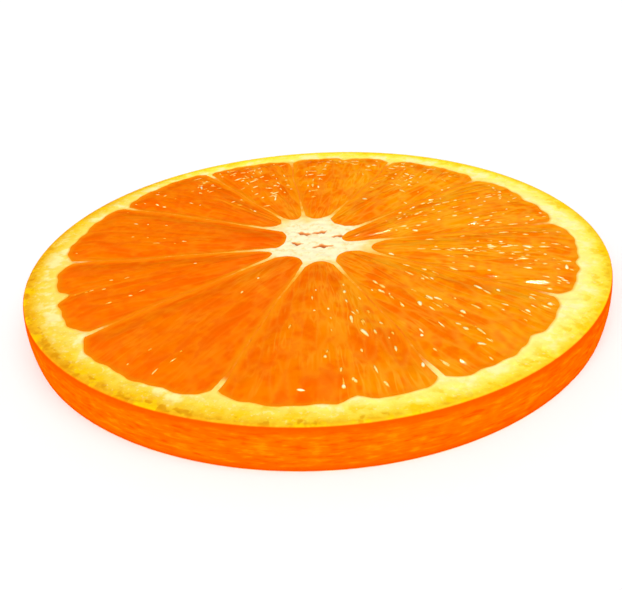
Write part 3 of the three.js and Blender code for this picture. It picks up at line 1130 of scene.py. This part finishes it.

# %% [markdown]
# ## Bead material
# A bead throws back the bright light behind the slice as a sharp highlight, and its colour adds a
# painted highlight: cream on top, thinning out towards its foot to the orange of the flesh below.
# Real juice is clear, but so small a clear bead would hardly show, so this one is opaque and its
# painted highlight follows the mask that was stored on its points.

# %% Make the bead material
def make_bead_material():
    material, tree, shader = new_material(
        "juice", Roughness=0.25, IOR=1.36, Specular_IOR_Level=0.15, Coat_Weight=0.3,
        Coat_Roughness=0.08, Coat_IOR=1.36)
    noise = noise_of(tree, object_place(tree), 1500.0)
    # painted highlight: orange at the bead's foot, cream on its top
    height = plus(tree, read(tree, "painted_glint"), centred(tree, noise))
    colour = colour_ramp(tree, height, [
        (0.1, 252, 136, 6),
        (0.32, 254, 176, 46),
        (0.6, 255, 220, 128),
        (0.95, 255, 248, 205),
    ])
    give_colour(tree, shader, colour, 1500.0, 0.12)
    return material


beads.data.materials.append(make_bead_material())
print("Bead material on", beads.name)

# %% [markdown]
# ## Pith material
# The pith ring takes the shared ring colour, with a thin deeper line where juice has soaked in beside
# the flesh. The core is nearly white. In between, a membrane is a clear wall that borrows the colour
# of the flesh on both sides, with a few paler fibres. A tear goes from tan at its lips to brown in
# its depth, and that darkening with depth is painted shade.

# %% Make the pith material
def make_pith_material():
    material, tree, shader = new_material(
        "pale pith", Roughness=0.6, IOR=1.4, Specular_IOR_Level=0.05, Subsurface_Weight=0.1,
        Subsurface_Scale=0.0002, Subsurface_Radius=(1.0, 0.8, 0.5))
    place = object_place(tree)
    drift = times(tree, centred(tree, noise_of(tree, place, 500.0, detail=3.0)), 0.14)
    share = plus(tree, share_of_radius(tree, place), drift)
    inner = colour_ramp(tree, share, [
        (0.0, 254, 243, 200),
        (0.15, 254, 242, 194),
        (0.21, 254, 218, 126),
        (0.28, 253, 170, 40),
        (0.42, 252, 138, 8),
        (0.8, 252, 144, 10),
    ])
    fibre = ease(tree, noise_of(tree, place, 900.0, 4.0, 0.65), 0.5, 0.66)
    fibre = times(tree, fibre, ease(tree, share, 0.3, 0.45, 0.55, 0.25))
    inner = mix_of(tree, fibre, inner, linear(252, 206, 96))  # fibres
    clear = ease(tree, noise_of(tree, place, 230.0), 0.36, 0.56)
    clear = times(tree, clear, ease(tree, share, 0.3, 0.45))
    inner = mix_of(tree, times(tree, clear, 0.85), inner, linear(250, 122, 0))  # clear stretches
    colour = mix_of(tree, ease(tree, share, 0.8, 0.88), inner, group_in(tree, ring_colour))
    beside_flesh = ease(tree, read(tree, "from_flesh"), 0.0, 0.13, 0.8, 0.0)
    colour = mix_of(tree, beside_flesh, colour, linear(253, 184, 44))  # soaked with juice
    tear = plus(tree, read(tree, "tear"), times(tree, drift, 1.5))
    colour = mix_of(tree, ease(tree, tear, 0.0, 0.4), colour, linear(232, 156, 84))  # a tear's lips
    # painted shade: the colour turns brown with the tear's depth
    colour = mix_of(tree, ease(tree, tear, 0.3, 0.95), colour, linear(184, 92, 34))  # and its depth
    give_colour(tree, shader, colour, 1100.0, 0.22)
    grain_bump(tree, shader, 1800.0, 0.06 * MM, 0.6)
    return material


pith_material = make_pith_material()
web.data.materials.append(pith_material)
print("Pith material nodes:", len(pith_material.node_tree.nodes))

# %% [markdown]
# ## Rind material
# On the side the skin is one strong orange, with faint streaks and shorter dashes that run round the
# fruit. Both are noise read in coordinates that are packed closely from top to bottom and spread
# wide around. At the cut the colour changes within a fraction of a millimetre to the golden yellow
# of the ring. The open oil glands on that edge are a darker gold, and at the front left it has
# golden-brown patches.

# %% Make the rind material
def streaks_around(tree, place, around, upwards, detail):
    """Noise in streaks that run round the fruit: the fewer around, the longer they are."""
    parts = add(tree, "ShaderNodeSeparateXYZ", {0: place})
    bearing = math_of(tree, "ARCTAN2", parts.outputs[1], parts.outputs[0])
    made = add(tree, "ShaderNodeCombineXYZ", {
        0: times(tree, math_of(tree, "COSINE", bearing), around),
        1: times(tree, math_of(tree, "SINE", bearing), around),
        2: times(tree, parts.outputs[2], upwards)})
    return noise_of(tree, made.outputs[0], 1.0, detail)


def make_rind_material():
    material, tree, shader = new_material(
        "orange skin", Roughness=0.6, IOR=1.45, Specular_IOR_Level=0.0, Subsurface_Weight=0.08,
        Subsurface_Scale=0.0002, Subsurface_Radius=(1.0, 0.6, 0.3))
    place = object_place(tree)
    streaks = streaks_around(tree, place, 7.0, 1100.0, 5.0)
    skin = mix_of(tree, ease(tree, streaks, 0.3, 0.7), linear(252, 98, 0), linear(252, 110, 0))
    dashes = streaks_around(tree, place, 22.0, 2600.0, 3.0)
    skin = mix_of(tree, ease(tree, dashes, 0.5, 0.72, 0.0, 0.9), skin, linear(255, 132, 4))
    skin = mix_of(tree, ease(tree, dashes, 0.5, 0.28, 0.0, 0.9), skin, linear(248, 76, 0))

    height = add(tree, "ShaderNodeSeparateXYZ", {0: place}).outputs["Z"]
    height = math_of(tree, "SUBTRACT", height, SLICE_THICKNESS / 2)
    height = times(tree, math_of(tree, "ABSOLUTE", height), 2 / SLICE_THICKNESS)  # 1 at both faces
    skin = mix_of(tree, ease(tree, height, 0.55, 0.9), skin, linear(251, 84, 0))  # redder at both rims
    patches = ease(tree, noise_of(tree, stretched(tree, place, 1.0, 1.0, 0.2), 760.0), 0.54, 0.63)
    front_left = ease(tree, shares_towards(tree, place, -0.62, -0.78), 0.3, 0.85)
    marked = times(tree, read(tree, "gland"), 0.35)
    marked = math_of(tree, "MAXIMUM", marked, times(tree, patches, front_left))
    outermost = ease(tree, share_of_radius(tree, place), 0.968, 0.976)  # the rind alone
    marked = times(tree, times(tree, marked, outermost), 0.75)
    cut = mix_of(tree, marked, group_in(tree, ring_colour), linear(222, 146, 10))
    colour = mix_of(tree, ease(tree, height, 0.93, 0.985), skin, cut)
    give_colour(tree, shader, colour, 1600.0, 0.3)
    grain_bump(tree, shader, 2200.0, 0.03 * MM, 0.5)
    return material


rind_material = make_rind_material()
rind.data.materials.append(rind_material)
print("Rind material nodes:", len(rind_material.node_tree.nodes))

# %% [markdown]
# ## Fixing the pieces to the frame
# Each piece rides on the frame's one body and stands for the solid, which is hidden. The hidden
# solid is what the physics engine goes on using.

# %% Ride and replace
others = [(web, "pale_pith"), (rind, "orange_skin"), (beads, "juice")]
for piece, slot_name in [*((p, "juicy_flesh") for p in flesh), *others]:
    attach(piece, "root")
    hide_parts("orange_slice")

# %% [markdown]
# ## Floor, light and camera
# The floor is plain and pale and reaches past everything that the camera sees. Suns with a wide
# angle light it evenly: a broad key from the camera's side, a broad light from above, and a small
# bright one behind on the right that only the wet ridges throw back. The camera's place comes from
# fitting the rim of the slice in the picture: its height, distance, turn and aim.

# %% Lay the floor
FLOOR_SIZE = 6
FLOOR_SHADE = (0.97, 0.97, 0.97, 1)

bpy.ops.object.select_all(action="DESELECT")
bpy.ops.mesh.primitive_plane_add(size=FLOOR_SIZE)
floor = bpy.context.object
floor.name = "floor"
floor_material, floor_tree, floor_shader = new_material("pale floor", Roughness=0.9)
floor_shader.inputs["Base Color"].default_value = FLOOR_SHADE
floor_shader.inputs["Specular IOR Level"].default_value = 0.0
floor.data.materials.append(floor_material)


# %% Hang the lights
ROOM_LIGHT = 0.3
GLINT_COLOUR = (1, 0.92, 0.5)


def sun(name, azimuth, elevation, strength, angle, only_shine=False):
    """A sun at that azimuth, anticlockwise from the right, and elevation; angles in degrees."""
    light = bpy.data.lights.new(name, "SUN")
    light.energy = strength
    light.angle = math.radians(angle)
    lamp = bpy.data.objects.new(name, light)
    bpy.context.scene.collection.objects.link(lamp)
    a = math.radians(azimuth)
    e = math.radians(elevation)
    towards = Vector((math.cos(a) * math.cos(e), math.sin(a) * math.cos(e), math.sin(e)))
    lamp.rotation_mode = "QUATERNION"
    lamp.rotation_quaternion = towards.to_track_quat("Z", "Y")
    lamp.visible_diffuse = not only_shine
    if only_shine:
        light.color = GLINT_COLOUR


sun("key", 255, 40, 2.0, 60)
sun("top", 300, 66, 1.25, 60)
sun("glints", 66, 58, 2.4, 7, only_shine=True)

world = bpy.data.worlds.new("dim room")
bpy.context.scene.world = world
world.use_nodes = True
room = world.node_tree.nodes["Background"]
room.inputs["Color"].default_value = (1, 1, 1, 1)
room.inputs["Strength"].default_value = ROOM_LIGHT
world.cycles_visibility.glossy = False  # the room lights evenly, with no mirror image in the juice
bpy.context.scene.view_settings.view_transform = "Standard"

# %% Place the camera
# The distance and the aim are given in radii of the slice, and the lens in pixels of the picture.
CAMERA_ELEVATION = math.radians(25.57)
CAMERA_DISTANCE = 2.395 * SLICE_RADIUS
CAMERA_ROLL = math.radians(-3.53)
AIM = Vector((-0.020 * SLICE_RADIUS, -0.394 * SLICE_RADIUS, SLICE_THICKNESS))
FOCAL_PIXELS = 657.1
PICTURE_WIDTH = 622
SENSOR_WIDTH = 36

centre = Vector((0, 0, SLICE_THICKNESS))
back = Vector((0, -math.cos(CAMERA_ELEVATION), math.sin(CAMERA_ELEVATION)))
eye = centre + CAMERA_DISTANCE * back
forward = (AIM - eye).normalized()
right = forward.cross(Vector((0, 0, 1))).normalized()
up = right.cross(forward)
camera_x = math.cos(CAMERA_ROLL) * right + math.sin(CAMERA_ROLL) * up
camera_y = math.cos(CAMERA_ROLL) * up - math.sin(CAMERA_ROLL) * right
axes = Matrix((camera_x, camera_y, -forward)).transposed()
camera_data = bpy.data.cameras.new("camera")
camera = bpy.data.objects.new("camera", camera_data)
bpy.context.scene.collection.objects.link(camera)
camera.matrix_world = Matrix.Translation(eye) @ axes.to_4x4()
camera_data.sensor_width = SENSOR_WIDTH
camera_data.lens = FOCAL_PIXELS / PICTURE_WIDTH * SENSOR_WIDTH
camera_data.clip_start = 0.002
camera_data.clip_end = 50
bpy.context.scene.camera = camera
print("Lens in mm:", round(camera_data.lens, 2))
